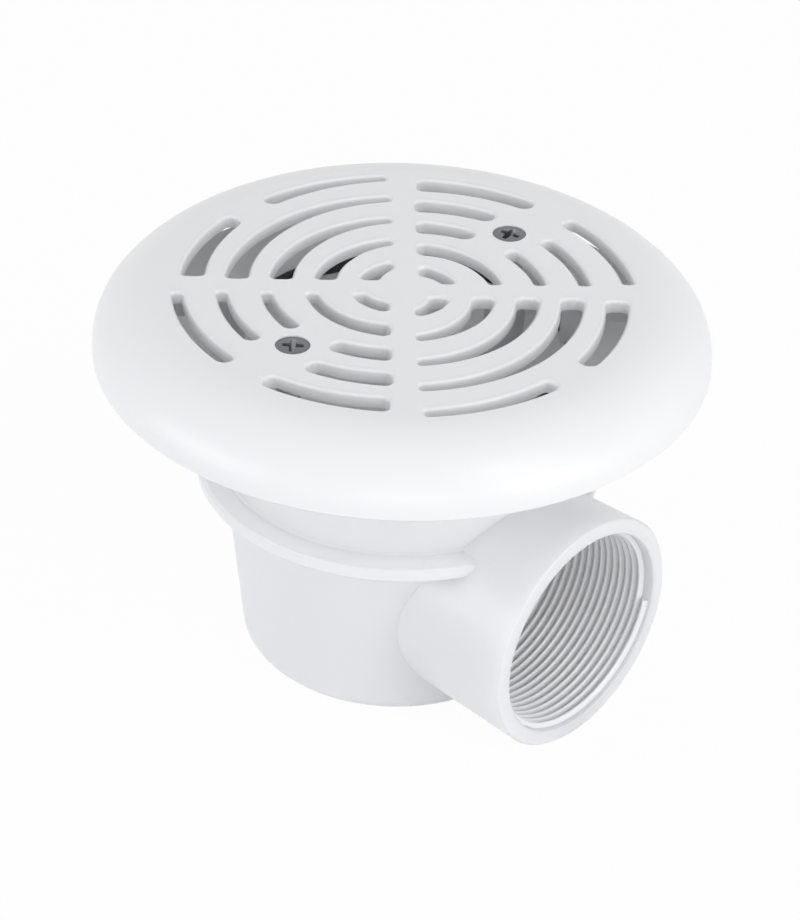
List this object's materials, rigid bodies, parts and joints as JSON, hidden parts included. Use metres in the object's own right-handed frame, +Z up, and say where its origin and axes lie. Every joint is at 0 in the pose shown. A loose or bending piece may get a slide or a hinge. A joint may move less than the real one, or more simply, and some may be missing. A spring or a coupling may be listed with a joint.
{
  "type": "pool main drain",
  "caption": "Round white pool main drain: slotted domed cover with two screws over a sump with a threaded side outlet.",
  "frame": {"origin": "on the drain's own axis, in the flat underside of the sump", "axes": "+Z up along the drain's axis to the cover, +X along the side outlet and out of its mouth, the two cover screws on +Y and -Y"},
  "size_m": [0.169, 0.169, 0.1132],
  "materials": {
    "white_abs": "satin",
    "cover_abs": "satin",
    "seal_rubber": "matt",
    "insert_brass": "turned",
    "screw_steel": "polished stainless"
  },
  "bodies": {
    "root": {"sump_body": "white_abs", "cover": "cover_abs", "mouth_seal": "seal_rubber", "insert_left": "insert_brass", "insert_right": "insert_brass", "cover_screw_left": "screw_steel", "cover_screw_right": "screw_steel"}
  },
  "joints": []
}
